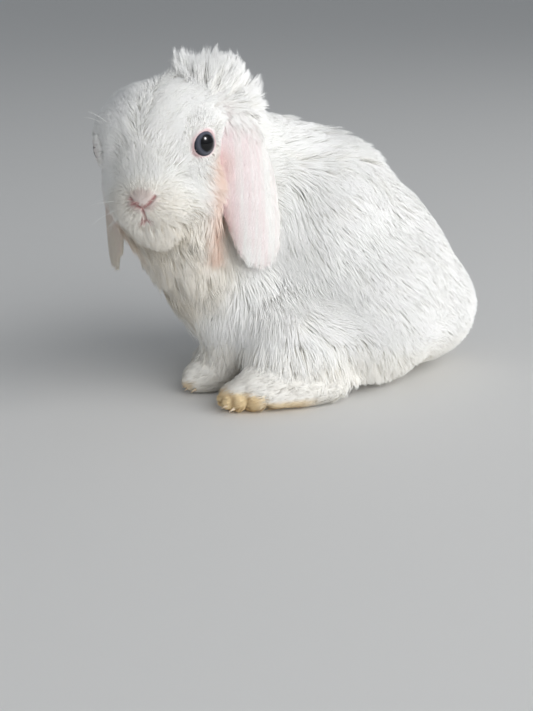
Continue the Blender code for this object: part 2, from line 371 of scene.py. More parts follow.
def place(mesh, points):
    mesh.vertices.foreach_set("co", (points * MM).astype(np.float32).ravel())
    mesh.update()


def normals(mesh):
    flat = np.empty(len(mesh.vertices) * 3, np.float32)
    mesh.vertex_normals.foreach_get("vector", flat)
    return flat.reshape(-1, 3).astype(float)


def smoothed(mesh, values, rounds, share=0.5):
    """Values at the mesh's points, each moved towards its neighbours' mean."""
    edges = np.empty(len(mesh.edges) * 2, np.int32)
    mesh.edges.foreach_get("vertices", edges)
    one, two = edges.reshape(-1, 2).T
    count = np.bincount(one, minlength=len(values)) + np.bincount(two, minlength=len(values))
    for _ in range(rounds):
        total = np.stack([
            np.bincount(one, column[two], len(values)) + np.bincount(two, column[one], len(values))
            for column in values.T
        ], axis=1)
        values = values + share * (total / count[:, None] - values)
    return values


# ---------------------------------------------------------------- skin
FLESH = [name for name in nodes if not name.startswith(("ear_", "eye_"))]
CLOSE_CUTS = 0.3
EAR_GROW = 0.1
HULL_VOXEL = 1.6
SKIN_VOXEL = 1.1
SINK_STEPS = 8


def coat_hull():
    """The surface that the tips of the coat reach, with the cuts between the nodes closed."""
    mesh = fused(swollen(FLESH + ["eye_left", "eye_right"], CLOSE_CUTS), HULL_VOXEL)
    place(mesh, smoothed(mesh, places(mesh), 8))
    return mesh


def bare_skin(hull):
    """The hull drawn in by the depth of the coat, with the ears grown on."""
    mesh = hull.copy()
    depth = coat_at(places(mesh), np.zeros(len(mesh.vertices)))[0]["depth"][:, None]
    for _ in range(SINK_STEPS):
        moved = places(mesh) - depth / SINK_STEPS * smoothed(mesh, normals(mesh), 4)
        place(mesh, smoothed(mesh, moved, 1, 0.3))
    whole = bmesh.new()
    whole.from_mesh(mesh)
    whole.from_mesh(swollen(["ear_left", "ear_right"], EAR_GROW))
    whole.to_mesh(mesh)
    whole.free()
    skin = fused(mesh, SKIN_VOXEL)
    place(skin, smoothed(skin, places(skin), 3))
    return skin


def refined(mesh, spots):
    """Each spot's faces are cut finer: (centre, radius, rounds)."""
    work = bmesh.new()
    work.from_mesh(mesh)
    for centre, radius, rounds in spots:
        for _ in range(rounds):
            edges = [
                edge for edge in work.edges
                if min((vert.co / MM - Vector(centre)).length for vert in edge.verts) < radius
            ]
            bmesh.ops.subdivide_edges(work, edges=edges, cuts=1, use_grid_fill=True, smooth=0.6)
    bmesh.ops.triangulate(work, faces=[face for face in work.faces if len(face.verts) > 4])
    work.to_mesh(mesh)
    work.free()


EYE_RADIUS = 6.5
CORNEA = 0.35         # how far the ball bulges at its front
EYE_OPENING = {"left": (4.6, 3.65), "right": (3.5, 2.9)}     # half width and half height between the lids
LID = {"left": 0.4, "right": 0.6}                            # how far the lids stand out from the ball
PIT = 1.6             # how far below the ball's surface the skin behind it lies
RIM_SNAP = 0.06       # points this near the opening's edge are moved onto it
EYE_SLANT = 28.0      # the inner corner is lower than the outer one by this turn


def eye_axes(side):
    """Rows: towards the nose, up and outwards, at an eye."""
    out = unit(head_axes @ EYE_LOOK[side])
    up = unit(np.array((0.0, 0.0, 1.0)) - out * out[2])
    inwards = np.cross(up, out) * -SIGN[side]
    slant = math.radians(EYE_SLANT)
    return np.array((
        inwards * math.cos(slant) - up * math.sin(slant), inwards * math.sin(slant) + up * math.cos(slant), out
    ))


def eye_reach(points, side):
    """How far out from an eye's middle a point is: 1 at the edge of the lids. And its height outwards."""
    across, up, out = ((points - eye_at[side]) @ eye_axes(side).T).T
    half_width, half_height = EYE_OPENING[side]
    return np.hypot(across / half_width, up / half_height), out


def lids(points):
    """The skin round each eye: a pit for the ball, with an even rim that closes on it."""
    for side in SIDES:
        reach, out = eye_reach(points, side)
        edge = (np.abs(reach - 1.0) < RIM_SNAP) & (out > 0)
        across, up, out = ((points - eye_at[side]) @ eye_axes(side).T).T
        scale = np.where(edge, 1.0 / reach, 1.0)
        points = np.stack((across * scale, up * scale, out), axis=1) @ eye_axes(side) + eye_at[side]
        inside = (reach < 1.0) & ~edge
        away = points - eye_at[side]
        far = np.linalg.norm(away, axis=1)
        target = np.where(inside, EYE_RADIUS - PIT, np.maximum(far, EYE_RADIUS + LID[side]))
        share = np.where(inside, 1.0, ease((2.0 - reach) / 0.8))
        share = share * (out > -1.0) * (far < 13.0)
        points = points + (away / far[:, None]) * (share * (target - far))[:, None]
    return points


# The nose's slits and the cleft below them, in the head's X and Z.
NOSE_AT = np.array((0.0, -31.0, -12.0))
NOSE_LINES = [
    ((0.0, -12.8), (1.6, -12.2)), ((1.6, -12.2), (3.2, -10.9)), ((3.2, -10.9), (4.7, -9.1)),
    ((0.0, -12.8), (-1.6, -12.2)), ((-1.6, -12.2), (-3.2, -10.9)), ((-3.2, -10.9), (-4.7, -9.1)),
    ((0.0, -12.8), (0.0, -17.4)),
    ((0.0, -17.4), (2.0, -18.8)), ((0.0, -17.4), (-2.0, -18.8)),
]
NOSE_LINE_WIDTH = 0.52


def line_distance(points, lines):
    """Distance to the nearest of some strokes."""
    best = np.full(len(points), 1e9)
    for start, end in lines:
        start, along = np.array(start), np.array(end) - np.array(start)
        share = np.clip((points - start) @ along / (along @ along), 0, 1)
        best = np.minimum(best, np.linalg.norm(points - start - share[:, None] * along, axis=1))
    return best


def nose_lines(points):
    """1 in the slits and the cleft of the muzzle, and 0 away from them."""
    head = to_head(points)
    front = ease((-head[:, 1] - 18.0) / 4.0)
    return front * np.exp(-(line_distance(head[:, (0, 2)], NOSE_LINES) / NOSE_LINE_WIDTH) ** 2)


def nose_pad(points):
    """1 on the tip of the nose above its slits, and 0 away from it."""
    head = to_head(points)
    return within(head, NOSE_AT + np.array((0, 0, 1.8)), (5.2, 6.0, 3.6), 0.6)


hull = coat_hull()
skin = bare_skin(hull)
fine_spots = [(from_head(NOSE_AT), 9.0, 2)]
fine_spots += [(eye_at[side], 9.0, 2) for side in SIDES]
fine_spots += [(box_mm("hindfoot_" + side)[0] + (11, 9, 4), 15.0, 1) for side in SIDES]
refined(skin, fine_spots)
points = places(skin)
pressed = 0.5 * nose_pad(points) - 1.0 * nose_lines(points) - toe_grooves(points)
points = points + normals(skin) * pressed[:, None]
place(skin, lids(points))

# ---------------------------------------------------------------- markings and painted light
WHITE = np.array((0.968, 0.972, 0.965))
CREAM = np.array((0.90, 0.84, 0.74))
PEACH = np.array((0.86, 0.62, 0.50))
PINK = np.array((0.89, 0.60, 0.66))
ROSE = np.array((0.45, 0.19, 0.19))
NOSE_PINK = np.array((0.62, 0.51, 0.48))
YELLOW = np.array((0.84, 0.66, 0.36))
# The peach hair between an eye and its ear, down to the neck, in the head's axes.
PEACH_STROKES = [
    ((23.5, -6.5, -1.0), (23.0, -10.0, -14.0)), ((23.0, -10.0, -14.0), (18.5, -3.0, -29.0)),
    ((18.5, -3.0, -29.0), (17.0, -2.0, -33.0)),
]
PEACH_WIDTH = 4.6
# Painted warm shade: cream tints where shade falls under the head and body, on the chest and neck, the lips and
# chin, the belly. Centre, radii and share.
UNDERSIDE_SHADE_ZONES = [
    ((8.0, -52.0, 62.0), (24.0, 18.0, 24.0), 0.55),
    (from_head(np.array((0.0, -24.0, -20.0))), (14.0, 14.0, 12.0), 0.40),
    ((0.0, 0.0, 8.0), (44.0, 70.0, 12.0), 0.25),
]
RIM_SHARE = {"left": 1.0, "right": 0.2}         # how strongly the rim of each eye is coloured
RIM_REACH = {"left": 1.30, "right": 1.10}       # where the coat begins round it, with the opening's edge at 1
# Streaks down the ears: how fast each varies along the axes, and how strong it is.
STREAKS = [((0.5, 1.3, 0.10), 0.05), ((-0.8, 2.9, -0.16), 0.05), ((0.3, 0.55, 0.06), 0.06)]


def tinted(colours, share, colour):
    return colours + share[:, None] * (colour - colours)


def markings(points, ear):
    """The colour of skin or coat at each point: its markings, with painted warm shade underneath and painted light
    on the far ear.
    """
    head = to_head(points)
    colours = np.tile(WHITE, (len(points), 1))
    # Painted warm shade on the chest and neck, the chin and the belly.
    for centre, radii, share in UNDERSIDE_SHADE_ZONES:
        colours = tinted(colours, share * within(points, centre, radii, 0.8), CREAM)
    mirrored = np.abs(head) * (1, 0, 0) + head * (0, 1, 1)
    near_side = np.where(head[:, 0] > 0, 1.0, 0.35)
    stripe = np.exp(-(line_distance(mirrored, PEACH_STROKES) / PEACH_WIDTH) ** 2)
    colours = tinted(colours, 0.7 * near_side * stripe, PEACH)
    low, high = box_mm("ear_left")
    front = ease((high[1] - 6.0 - points[:, 1]) / 22.0) * ease((points[:, 2] - low[2]) / 20.0)
    streak = sum(size * np.sin(points @ np.array(wave)) for wave, size in STREAKS)
    # Painted light: the far ear is tinted cream, for the glow of light shining through it from behind.
    colours = tinted(colours, 0.5 * ear * (head[:, 0] < 0), CREAM)
    colours = tinted(colours, near_side * ear * (0.09 + 0.28 * front + streak).clip(0, 1), PINK)
    for side in SIDES:
        reach, out = eye_reach(points, side)
        rim = RIM_SHARE[side] * (out > 0)
        colours = tinted(colours, 0.35 * ease((1.6 - reach) / 0.4) * rim, PINK)
        colours = tinted(colours, 0.50 * ease((1.40 - reach) / 0.25) * rim, ROSE)
    colours = tinted(colours, 0.85 * toes(points), YELLOW)
    colours = tinted(colours, 0.7 * nose_pad(points), NOSE_PINK)
    return tinted(colours, 0.85 * nose_lines(points), ROSE)


def paint(mesh, colours):
    """Stores a colour at each of the mesh's points."""
    layer = mesh.color_attributes.new("markings", "FLOAT_COLOR", "POINT")
    layer.data.foreach_set("color", np.hstack((colours, np.ones((len(colours), 1)))).astype(np.float32).ravel())


skin_points = places(skin)
skin_ear = ear_share(skin_points)
hair_ear = skin_ear * below_root(skin_points)
paint(skin, markings(skin_points, skin_ear))


# ---------------------------------------------------------------- unwrap
FLAT_FACES = 9000


def unwrapped(mesh):
    """A coarse copy of the skin laid out flat: its nearest-point tree and each corner's place on it."""
    obj = new_object("flat", mesh.copy())
    thin = obj.modifiers.new("thin", "DECIMATE")
    thin.ratio = FLAT_FACES / (2 * len(mesh.polygons))
    coarse = new_object("coarse", applied(obj))
    bpy.context.view_layer.objects.active = coarse
    coarse.select_set(True)
    bpy.ops.object.mode_set(mode="EDIT")
    bpy.ops.mesh.select_all(action="SELECT")
    bpy.ops.mesh.quads_convert_to_tris()
    bpy.ops.uv.smart_project(angle_limit=math.radians(66), island_margin=0.004)
    bpy.ops.object.mode_set(mode="OBJECT")
    data = coarse.data
    corners = np.empty(len(data.loops) * 2, np.float32)
    data.uv_layers.active.data.foreach_get("uv", corners)
    loops = np.empty(len(data.loops), np.int32)
    data.loops.foreach_get("vertex_index", loops)
    verts = places(data)
    faces = loops.reshape(-1, 3)
    tree = BVHTree.FromPolygons([Vector(v) for v in verts], faces.tolist())
    result = tree, verts, faces, corners.reshape(-1, 3, 2)
    bpy.data.objects.remove(coarse)
    return result


def flat_places(points, flat):
    """Where each point lies on the unwrapped skin."""
    tree, verts, faces, corners = flat
    hits = [tree.find_nearest(point) for point in points]
    index = np.array([hit[2] for hit in hits])
    at = np.array([hit[0] for hit in hits])
    a, b, c = (verts[faces[index, k]] for k in range(3))
    normal = np.cross(b - a, c - a)
    size = np.maximum(np.einsum("ij,ij->i", normal, normal), 1e-12)
    v = np.einsum("ij,ij->i", np.cross(at - a, c - a), normal) / size
    w = np.einsum("ij,ij->i", np.cross(b - a, at - a), normal) / size
    weights = np.stack((1 - v - w, v, w), axis=1)
    return np.einsum("ij,ijk->ik", weights, corners[index])


# ---------------------------------------------------------------- coat
SEED = 11
PIECE_FACES = 190000        # most faces in one piece
LEADERS = 0.03              # share of the tufts that lead a lock
STANDING = 0.2              # share of the locks that stand a little proud
LOCK_TURN = 0.24            # how far locks and single tufts stray from the lie, in radians
TUFT_TURN = 0.28
TUFT_ROLL = 0.25            # how far a tuft is rolled about its own length
ROOT_DEPTH = 0.25           # how far a tuft starts below the skin
LONG = 9.0                  # tufts above this length have two rings
UV_PATCH = 0.003            # how much of the flat skin a tuft takes
FLOOR_GAP = 0.05            # no point of a tuft is lower than this
TIP_GAP = 0.2               # and no tip or bend than this
ROOT_SHADE = np.array((0.97, 0.957, 0.93))            # painted shade: a tuft's root is darker and warmer, as shares of its tip's colour
ROUNDNESS = 0.35            # how far a tuft's normals turn with its section
SECTION = ((1.0, -0.1), (-1.0, -0.1), (0.0, 0.3))     # of a tuft: across it and outwards, in half widths
STATIONS = {1: (0.42,), 2: (0.28, 0.68)}              # where the rings of a tuft are, by how many it has
SWELL = {1: (1.0,), 2: (1.0, 0.8)}                    # and their sizes
rng = np.random.default_rng(SEED)


def triangles(mesh):
    mesh.calc_loop_triangles()
    flat = np.empty(len(mesh.loop_triangles) * 3, np.int32)
    mesh.loop_triangles.foreach_get("vertices", flat)
    return flat.reshape(-1, 3)


def scattered(corners, points, weight):
    """Random places on the skin, weight of them to a mm2: their triangles' corners, and the share of each."""
    a, b, c = (points[corners[:, k]] for k in range(3))
    area = np.linalg.norm(np.cross(b - a, c - a), axis=1) / 2
    chance = np.cumsum(area * weight[corners].mean(axis=1))
    count = int(chance[-1])
    pick = np.searchsorted(chance, rng.random(count) * chance[-1])
    one, two = rng.random((2, count))
    flip = one + two > 1
    one, two = np.where(flip, 1 - one, one), np.where(flip, 1 - two, two)
    shares = np.stack((1 - one - two, one, two), axis=1)
    return corners[pick], shares


def blend(values, corners, shares):
    """Values at places inside triangles, from those at their corners."""
    if values.ndim == 1:
        return np.einsum("ij,ij->i", values[corners], shares)
    return np.einsum("ijk,ij->ik", values[corners], shares)


def tangent(way, normal):
    return unit(way - normal * np.einsum("ij,ij->i", way, normal)[:, None])


def turned(way, normal, angle):
    """Each way turned about its normal."""
    return way * np.cos(angle)[:, None] + np.cross(normal, way) * np.sin(angle)[:, None]


hull_tree = surface_tree(places(hull), hull)


def to_hull(points, below):
    """Points moved along the hull's normal until they lie that far below it."""
    hits = [hull_tree.find_nearest(point) for point in points]
    at = np.array([hit[0] for hit in hits])
    out = np.array([hit[1] for hit in hits])
    height = np.einsum("ij,ij->i", points - at, out)
    return points + out * (-below - height)[:, None]


# Wanders of the coat's lie: how fast each varies along the axes, and its size in radians.
SWIRLS = [((0.11, 0.05, 0.08), 0.22), ((-0.06, 0.17, 0.10), 0.16), ((0.21, -0.13, 0.19), 0.12)]


def swirl(points):
    """How far the coat's lie is turned at each point."""
    return sum(size * np.sin(points @ np.array(wave) + 2.0 * size) for wave, size in SWIRLS)


def coat_roots():
    """Root, normal, ways, traits, hug and share of ear of every tuft."""
    corners = triangles(skin)
    traits, lie = coat_at(skin_points, hair_ear)
    bare = np.ones(len(skin_points))
    for side in SIDES:
        reach, out = eye_reach(skin_points, side)
        bare *= 1 - ease((RIM_REACH[side] - reach) / 0.12) * (out > 0)
    bare *= 1 - np.clip(4.0 * nose_lines(skin_points), 0, 1)
    bare *= 1 - 0.6 * nose_pad(skin_points)
    bare *= skin_points[:, 2] > 0.7
    weight = traits["density"] * bare * 1.0
    corner, share = scattered(corners, skin_points, weight)
    root = blend(skin_points, corner, share)
    normal = unit(blend(smoothed(skin, normals(skin), 2), corner, share))
    lie = unit(blend(lie, corner, share))
    way = tangent(lie, normal)
    way = turned(way, normal, swirl(root) * ease(blend(traits["length"], corner, share) / 16.0))
    traits = {key: blend(value, corner, share) for key, value in traits.items()}
    hug = blend(np.maximum(skin_ear, toes(skin_points)), corner, share)
    return root, normal, way, lie, traits, hug, blend(hair_ear, corner, share)


def tips(root, normal, way, lie, traits, ear, below, length):
    """Where each tuft ends: along the lie, and that share of the coat's depth below its surface."""
    reach = root + way * length[:, None] + normal * (traits["depth"] * 0.8)[:, None]
    on_coat = to_hull(reach, below)
    free = root + normal * (traits["depth"] * 0.5)[:, None] + (0.35 * way + 0.65 * lie) * length[:, None]
    on_coat += traits["lift"][:, None] * (free - on_coat)
    on_ear = root + way * length[:, None] + normal * (0.3 + 0.3 * traits["depth"] - 0.3 * below)[:, None]
    share = ease(ear * 1.6)[:, None]
    return on_coat + share * (on_ear - on_coat)


def locks(root, normal, way, lie, traits, ear):
    """Each tuft's lock, and every lock's root, tip and shade."""
    index = np.flatnonzero(rng.random(len(root)) < LEADERS)
    length = traits["length"][index] * (1 + rng.uniform(-0.25, 0.25, len(index)) * (1 + traits["lift"][index]))
    turn = rng.normal(0, LOCK_TURN, len(index))
    lock_way = turned(way[index], normal[index], turn)
    stick = np.where(rng.random(len(index)) < STANDING, rng.uniform(0.0, 1.0, len(index)), 0.0)
    proud = stick * traits["depth"][index] * 0.25
    below = traits["depth"][index] * rng.uniform(0.0, 0.22, len(index)) - proud
    picked = {key: value[index] for key, value in traits.items()}
    picked["lift"] = picked["lift"] * rng.uniform(0.4, 1.3, len(index))
    end = tips(root[index], normal[index], lock_way, lie[index], picked, ear[index], below, length)
    tree = KDTree(len(index))
    for number, at in enumerate(root[index]):
        tree.insert(at, number)
    tree.balance()
    nearest = np.array([tree.find(at)[1] for at in root])
    return nearest, root[index], end, rng.uniform(-1, 1, len(index))


def tufts():
    """Root, bend, tip, width, way outwards, share of ear, traits and shade of every tuft."""
    root, normal, way, lie, traits, ear, hair = coat_roots()
    count = len(root)
    lock, lock_root, lock_tip, shade = locks(root, normal, way, lie, traits, ear)
    length = traits["length"] * rng.uniform(0.65, 1.1, count)
    below = traits["depth"] * (rng.uniform(0.0, 0.30, count) ** 1.2 - 0.04)
    own = turned(way, normal, rng.normal(0, TUFT_TURN, count))
    end = tips(root, normal, own, lie, traits, ear, below, length)
    spread = 0.75 * (1 - traits["pull"].clip(0.3, 0.9))[:, None]
    drawn = lock_tip[lock] + spread * (root - lock_root[lock])
    pull = (traits["pull"] * rng.uniform(0.5, 1.15, count)).clip(0, 0.95)[:, None]
    end = end + pull * (drawn - end)
    end[:, 2] = np.maximum(end[:, 2], TIP_GAP)
    rise = traits["depth"] * rng.uniform(0.45, 0.8, count) * (1 - 0.7 * traits["lift"].clip(0, 1)) + 0.3
    bend = root + normal * rise[:, None] + 0.3 * (end - root)
    bend[:, 2] = np.maximum(bend[:, 2], TIP_GAP)
    width = traits["width"] * rng.uniform(0.7, 1.25, count)
    return root - ROOT_DEPTH * normal, bend, end, width, normal, hair, traits, shade[lock]


def spindle_mesh(name, start, bend, end, width, outward, colours, spots, rings):
    """One mesh of tapered tufts, each pointed at both ends, round at its rings and bent along its length."""
    count = len(start)
    along = unit(end - start)
    upright = np.einsum("ij,ij->i", along, outward)[:, None]
    lean = outward - 0.85 * along * upright
    side = unit(np.cross(along, lean + np.array((0.01, 0.0, 0.02))))
    side = turned(side, along, rng.normal(0, TUFT_ROLL, count))
    rise = ease((np.abs(upright) - 0.35) / 0.35) * 0.9
    up = np.cross(side, along)
    points = [start]
    facing = [outward]
    under = [-outward]
    for t, size in zip(STATIONS[rings], SWELL[rings]):
        middle_point = (1 - t) ** 2 * start + 2 * t * (1 - t) * bend + t * t * end
        for across, height in SECTION:
            ring = side * across + up * height
            points.append(middle_point + ring * (0.5 * size * width)[:, None])
            facing.append(unit(lean * (1 - rise) + (ROUNDNESS + rise) * ring))
            under.append(unit(-up + ROUNDNESS * ring))
    points.append(end)
    facing.append(outward)
    under.append(-up)
    per = len(points)
    verts = np.stack(points, axis=1).reshape(-1, 3)
    verts[:, 2] = np.maximum(verts[:, 2], FLOOR_GAP)
    faces = [(0, 1 + (k + 1) % 3, 1 + k) for k in range(3)]
    for ring in range(rings - 1):
        a, b = 1 + 3 * ring, 4 + 3 * ring
        for k in range(3):
            nxt = (k + 1) % 3
            faces += [(a + k, a + nxt, b + nxt), (a + k, b + nxt, b + k)]
    last = 1 + 3 * (rings - 1)
    faces += [(last + k, last + (k + 1) % 3, per - 1) for k in range(3)]
    faces = np.array(faces)
    below = np.zeros(len(faces), bool)
    below[[0, len(faces) - 3]] = True
    if rings == 2:
        below[[3, 4]] = True
    corners = (faces[None] + per * np.arange(count)[:, None, None]).reshape(-1)
    mesh = bpy.data.meshes.new(name)
    mesh.vertices.add(len(verts))
    mesh.vertices.foreach_set("co", (verts * MM).astype(np.float32).ravel())
    total = len(faces) * count
    mesh.loops.add(3 * total)
    mesh.loops.foreach_set("vertex_index", corners.astype(np.int32))
    mesh.polygons.add(total)
    mesh.polygons.foreach_set("loop_start", np.arange(0, 3 * total, 3, dtype=np.int32))
    mesh.polygons.foreach_set("loop_total", np.full(total, 3, np.int32))
    mesh.update(calc_edges=True)
    mesh.shade_smooth()
    ways = np.where(below[:, None, None], np.stack(under, axis=1)[:, faces], np.stack(facing, axis=1)[:, faces])
    mesh.normals_split_custom_set(ways.reshape(-1, 3).tolist())
    # Each tuft takes a small patch of the flat skin round its root.
    patch = np.array([(0.5, 0.0)] + [(0.1 + 0.4 * k, 0.3 + 0.2 * (k % 2) + 0.25 * r) for r in range(rings)
                                     for k in range(3)] + [(0.55, 1.0)])
    uv = (spots[:, None] + UV_PATCH * (patch[None] - 0.5)).clip(0, 1)
    uv = uv[:, faces.ravel()].reshape(-1)
    layer = mesh.uv_layers.new(name="OFBake")
    layer.data.foreach_set("uv", uv.astype(np.float32))
    # Painted shade: each tuft's colour darkens and warms from its tip down to its root, where shade falls deep in
    # the coat.
    deep = np.array((0.0,) + sum(((t,) * 3 for t in STATIONS[rings]), ()) + (1.0,))
    shades = colours[:, None] * (ROOT_SHADE + deep[None, :, None] * (1 - ROOT_SHADE))
    paint(mesh, shades.reshape(-1, 3))
    return mesh


def coat_pieces():
    """Every piece of the coat with its slot."""
    start, bend, end, width, outward, ear, traits, shade = tufts()
    flat = unwrapped(skin)
    spots = flat_places(start, flat)
    colours = markings(0.45 * start + 0.55 * end, ear)
    colours = colours * (1 + 0.025 * shade[:, None] + rng.normal(0, 0.012, len(start))[:, None])
    colours = colours.clip(0, 0.97)
    long = traits["length"] > LONG
    on_toes = toes(start) > 0.5
    on_ears = ear > 0.5
    rest = ~on_toes & ~on_ears
    groups = (
        ("coat_long", "coat", rest & long, 2), ("coat_short", "coat", rest & ~long, 1),
        ("coat_ears", "ear", on_ears, 1), ("coat_toes", "foot_coat", on_toes & ~on_ears, 1),
    )
    pieces = []
    for name, slot, mask, rings in groups:
        index = np.flatnonzero(mask)
        index = index[np.argsort(start[index, 1], kind="stable")]
        parts = math.ceil(len(index) * 6 * rings / PIECE_FACES)
        for number, chunk in enumerate(np.array_split(index, parts), 1):
            mesh = spindle_mesh(f"{name}_{number}", start[chunk], bend[chunk], end[chunk], width[chunk],
                                outward[chunk], colours[chunk], spots[chunk], rings)
            pieces.append((new_object(mesh.name, mesh), slot))
    pieces.append((whiskers(flat), "coat"))
    return pieces


# Whiskers: rows on the lips, then two over each eye. Root in the head's axes, way and length.
WHISKERS = [
    (
        (9.0 + 0.8 * step, -27.0 + 1.6 * step, -10.5 - 2.2 * row),
        (0.85, 0.25 + 0.22 * step, 0.12 - 0.28 * row),
        17.0 - 2.0 * row,
    )
    for row in range(3) for step in range(4)
] + [((12.0, -20.0, 15.5), (0.55, -0.3, 0.8), 13.0), ((14.5, -18.0, 15.5), (0.7, -0.1, 0.7), 12.0)]
WHISKER_WIDTH = 0.13
WHISKER_DROOP = 3.5


def whiskers(flat):
    """One long bent tuft for each whisker on both sides."""
    tree = surface_tree(skin_points, skin)
    start, way, out, length = [], [], [], []
    for side in SIDES:
        mirror = np.array((SIGN[side], 1.0, 1.0))
        for at, direction, reach in WHISKERS:
            hit = tree.find_nearest(from_head(np.array(at) * mirror))
            start.append(hit[0])
            out.append(hit[1])
            way.append(unit(np.array(direction) * mirror + rng.normal(0, 0.08, 3)) @ head_axes.T)
            length.append(reach * rng.uniform(0.8, 1.1))
    start, way, out, length = (np.array(values) for values in (start, way, out, length))
    end = start + way * length[:, None] - np.array((0, 0, WHISKER_DROOP))
    bend = start + way * (0.5 * length)[:, None] + out
    colours = np.tile(WHITE, (len(start), 1))
    width = np.full(len(start), WHISKER_WIDTH)
    mesh = spindle_mesh("whiskers", start - 0.5 * out, bend, end, width, out, colours, flat_places(start, flat), 2)
    return new_object("whiskers", mesh)


CLAW_LENGTH = 2.6
CLAW_RADIUS = 0.6
CLAW_TIP = 0.08
CLAW_INSET = 2.2
CLAW_ARC = 5.0                          # how much further back the outer toes end than the middle ones
CLAW_SPREAD = (0.2, 0.4, 0.6, 0.8)      # across each foot
CLAW_ROWS = (("hindfoot", 3.0, 0.35), ("forepaw", 2.6, 0.45))    # foot, height and slope


def claws():
    """A small cone at the front of every toe."""
    work = bmesh.new()
    for name, above, drop in CLAW_ROWS:
        for side in SIDES:
            low, high = box_mm(f"{name}_{side}")
            for share in CLAW_SPREAD:
                curve = CLAW_ARC * (2 * share - 1) ** 2
                at = Vector((low[0] + share * (high[0] - low[0]), low[1] + CLAW_INSET + curve, above))
                way = Vector((0.8 * (share - 0.5), -1.0, -drop)).normalized()
                turn = way.to_track_quat("Z", "Y").to_matrix().to_4x4()
                bmesh.ops.create_cone(
                    work, cap_ends=True, segments=8, radius1=CLAW_RADIUS * MM, radius2=CLAW_TIP * MM,
                    depth=CLAW_LENGTH * MM, matrix=Matrix.Translation(at * MM) @ turn,
                )
    bmesh.ops.recalc_face_normals(work, faces=work.faces)
    mesh = bpy.data.meshes.new("claws")
    work.to_mesh(mesh)
    work.free()
    mesh.shade_smooth()
    mesh.materials.append(claw_material())
    return new_object("claws", mesh)


# ---------------------------------------------------------------- materials
class Number:
    """A value on a socket. Sums on a number add Math nodes."""

    def __init__(self, shader, socket):
        self.shader = shader
        self.socket = socket

    def _sum(self, operation, one, two):
        return self.shader.node("ShaderNodeMath", {"operation": operation}, {0: one, 1: two})

    def __add__(self, other):
        return self._sum("ADD", self, other)

    def __radd__(self, other):
        return self._sum("ADD", other, self)

    def __sub__(self, other):
        return self._sum("SUBTRACT", self, other)

    def __rsub__(self, other):
        return self._sum("SUBTRACT", other, self)

    def __mul__(self, other):
        return self._sum("MULTIPLY", self, other)

    def __rmul__(self, other):
        return self._sum("MULTIPLY", other, self)


class Shader:
    """A material and its nodes."""

    def __init__(self, name):
        self.material = bpy.data.materials.new(name)
        self.material.use_nodes = True
        self.tree = self.material.node_tree
        self.surface = self.tree.nodes["Principled BSDF"]

    def node(self, kind, settings=None, inputs=None, output=0):
        """Adds a node: its settings first, then its sockets' values or links."""
        made = self.tree.nodes.new(kind)
        for key, value in (settings or {}).items():
            if key == "stops":
                ramp = made.color_ramp.elements
                while len(ramp) < len(value):
                    ramp.new(0.5)
                for stop, (at, colour) in zip(ramp, value):
                    stop.position = at
                    stop.color = colour
            else:
                setattr(made, key, value)
        for key, value in (inputs or {}).items():
            self.put(made.inputs[key], value)
        return Number(self, made.outputs[output])

    def put(self, socket, value):
        if isinstance(value, Number):
            self.tree.links.new(value.socket, socket)
        else:
            socket.default_value = value

    def set(self, **values):
        """Values or links of the surface's own sockets."""
        for key, value in values.items():
            self.put(self.surface.inputs[key.replace("_", " ")], value)

    def place(self):
        return self.node("ShaderNodeTexCoord", output="Object")

    def noise(self, scale, detail):
        return self.node("ShaderNodeTexNoise", None, {"Vector": self.place(), "Scale": scale, "Detail": detail})

    def mixed(self, share, one, two, how="MIX"):
        """Two colours mixed. The Mix node's colour sockets are 6 and 7, and its colour output is 2."""
        return self.node("ShaderNodeMix", {"data_type": "RGBA", "blend_type": how}, {0: share, 6: one, 7: two}, 2)


def coat_material():
    shader = Shader("white_fur")
    # The colour attribute holds the markings together with painted shade and painted light.
    colour = shader.node("ShaderNodeAttribute", {"attribute_name": "markings"}, output="Color")
    cream = shader.noise(90.0, 4.0)
    colour = shader.mixed(cream * 0.12, colour, (0.94, 0.91, 0.84, 1), "MULTIPLY")
    shader.set(Base_Color=colour, Roughness=0.7, Specular_IOR_Level=0.15)
    return shader.material


def skin_material():
    shader = Shader("skin")
    # The colour attribute holds the markings together with painted shade and painted light.
    colour = shader.node("ShaderNodeAttribute", {"attribute_name": "markings"}, output="Color")
    grain = shader.noise(1400.0, 3.0)
    colour = shader.mixed(grain * 0.2, colour, (0.95, 0.90, 0.87, 1), "MULTIPLY")
    bump = shader.node("ShaderNodeBump", None, {"Strength": 0.35, "Distance": 0.0004, "Height": grain}, "Normal")
    shader.set(Base_Color=colour, Roughness=0.6, Normal=bump, Specular_IOR_Level=0.3)
    return shader.material


def claw_material():
    shader = Shader("claw")
    grain = shader.noise(900.0, 2.0)
    colour = shader.mixed(grain, (0.62, 0.48, 0.33, 1), (0.76, 0.64, 0.48, 1))
    shader.set(Base_Color=colour, Roughness=0.35 + grain * 0.1)
    return shader.material


